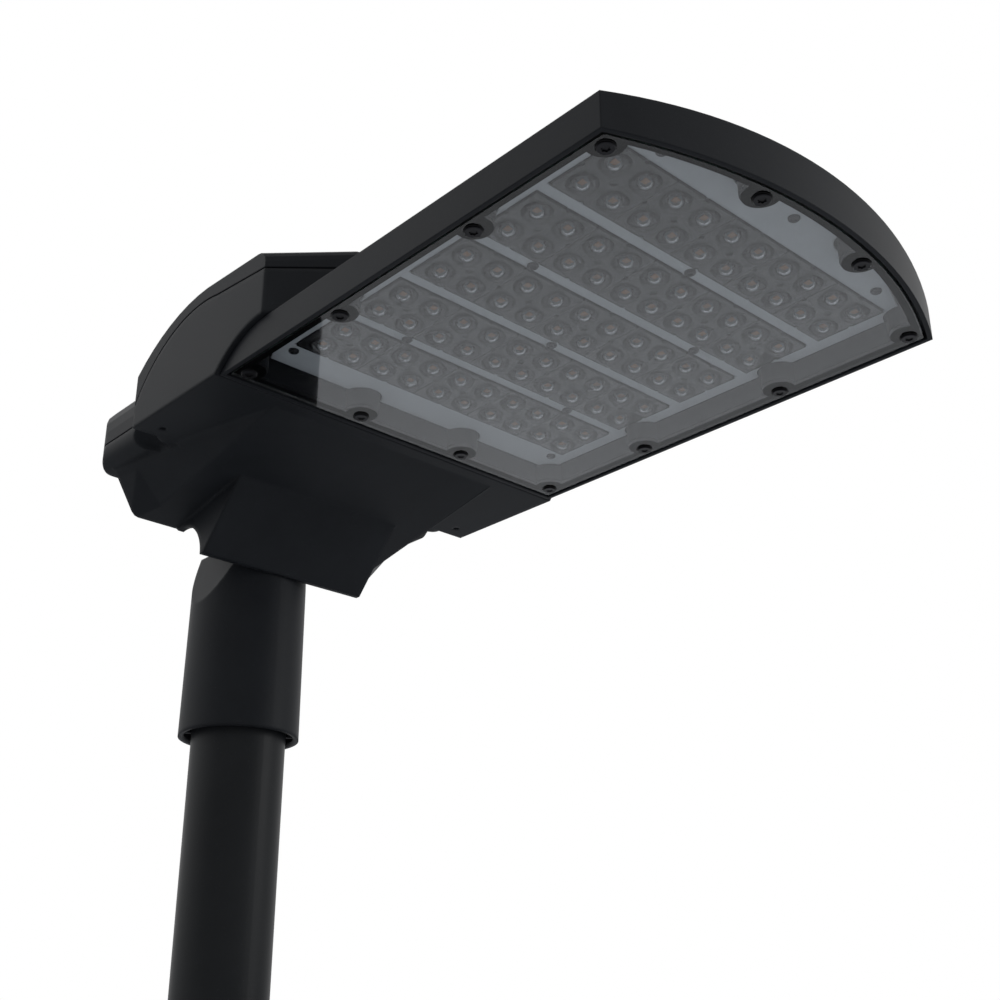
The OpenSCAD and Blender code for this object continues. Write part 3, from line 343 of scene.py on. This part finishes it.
# The lens modules. Square mouldings in slightly smoky acrylic, each with four domes, five in
# a row on each board. The hollow behind each dome, which faces the board, isn't polished.
acrylic_refraction = 1.49
acrylic_smoke = (0.55, 0.565, 0.585)
hollow_roughness = 0.4
acrylic = new_finish("smoky_acrylic")
shader_of(acrylic).inputs["Base Color"].default_value = (*acrylic_smoke, 1.0)
shader_of(acrylic).inputs["Transmission Weight"].default_value = 1.0
shader_of(acrylic).inputs["IOR"].default_value = acrylic_refraction
polish = spread(acrylic, noise(acrylic, scale=90.0), low=0.05, high=0.15)
hollow = spread(
    acrylic, looking_up(acrylic), low=0.0, high=hollow_roughness, start=0.02, end=0.1)
roughen(acrylic, polish, hollow)
for strip in range(1, strips + 1):
    dress(acrylic, f"lens_strip_{strip}")

# The gear inside the housing. The driver in its aluminium case and the plastic surge protector
# stand on the folded tray, and the moulded terminal block on the floor in front of it.
driver_case = turned_metal("driver_aluminium", colour=(0.6, 0.61, 0.62), roughness=0.45)
dress(driver_case, "driver")
surge_case = moulded(
    "surge_case_plastic", colour=(0.08, 0.1, 0.14), roughness=0.5, grain=900.0, depth=0.15)
dress(surge_case, "surge_protector")
terminal_plastic = moulded(
    "terminal_plastic", colour=(0.7, 0.69, 0.65), roughness=0.5, grain=900.0, depth=0.1)
dress(terminal_plastic, "terminal_block")

# The cable gland, its nut and the breather. Black nylon, moulded,
# set in the roof of the chamber over the pivot.
nylon = moulded(
    "black_nylon", colour=(0.012, 0.012, 0.013), roughness=0.5, grain=1000.0, depth=0.2)
dress(nylon, "cable_gland", "gland_nut", "pressure_vent")

# Floor. A plain pale sheet below the pole's cut end, out of the camera's view.
# It lights the underside of the head.
floor_side = 14.0
floor_z = -0.16
floor_colour = (0.85, 0.875, 0.915, 1.0)
floor_roughness = 0.9
bpy.ops.object.select_all(action="DESELECT")
bpy.ops.mesh.primitive_plane_add(size=floor_side, location=(0.0, 0.0, floor_z))
floor = bpy.context.active_object
floor.name = "floor"
floor_paint = bpy.data.materials.new("floor_white")
floor_paint.use_nodes = True
shader_of(floor_paint).inputs["Base Color"].default_value = floor_colour
shader_of(floor_paint).inputs["Roughness"].default_value = floor_roughness
floor.data.materials.append(floor_paint)

# Studio. A surround that is white to the camera, through glass and in reflections, and two
# soft lamps: the key above, behind and to the right of the head, the fill in front to its left.
surround_colour = (1.0, 1.0, 1.0, 1.0)
surround_seen = 1.0
surround_light = 0.5
world = bpy.data.worlds.new("studio")
bpy.context.scene.world = world
world.use_nodes = True
world_nodes = world.node_tree.nodes
world_link = world.node_tree.links.new
surround = world_nodes["Background"]
surround.inputs["Color"].default_value = surround_colour
ray = world_nodes.new("ShaderNodeLightPath")
through = world_nodes.new("ShaderNodeMath")
through.operation = "MAXIMUM"
world_link(ray.outputs["Is Camera Ray"], through.inputs[0])
world_link(ray.outputs["Is Transmission Ray"], through.inputs[1])
seen = world_nodes.new("ShaderNodeMath")
seen.operation = "MAXIMUM"
world_link(through.outputs["Value"], seen.inputs[0])
world_link(ray.outputs["Is Glossy Ray"], seen.inputs[1])
strength = world_nodes.new("ShaderNodeMapRange")
strength.inputs["To Min"].default_value = surround_light
strength.inputs["To Max"].default_value = surround_seen
world_link(seen.outputs["Value"], strength.inputs["Value"])
world_link(strength.outputs["Result"], surround.inputs["Strength"])


def soft_lamp(name, place, target, size, power):
    data = bpy.data.lights.new(name, "AREA")
    data.shape = "SQUARE"
    data.size = size
    data.energy = power
    lamp = bpy.data.objects.new(name, data)
    lamp.location = place
    lamp.rotation_euler = (Vector(target) - Vector(place)).to_track_quat("-Z", "Y").to_euler()
    bpy.context.scene.collection.objects.link(lamp)


soft_lamp("key", place=(-1.2, -1.7, 1.3), target=(0.05, 0.0, 0.4), size=2.4, power=14.0)
soft_lamp("fill", place=(2.2, 1.9, 0.8), target=(0.4, 0.0, 0.4), size=1.2, power=28.0)

bpy.context.scene.view_settings.view_transform = "Standard"
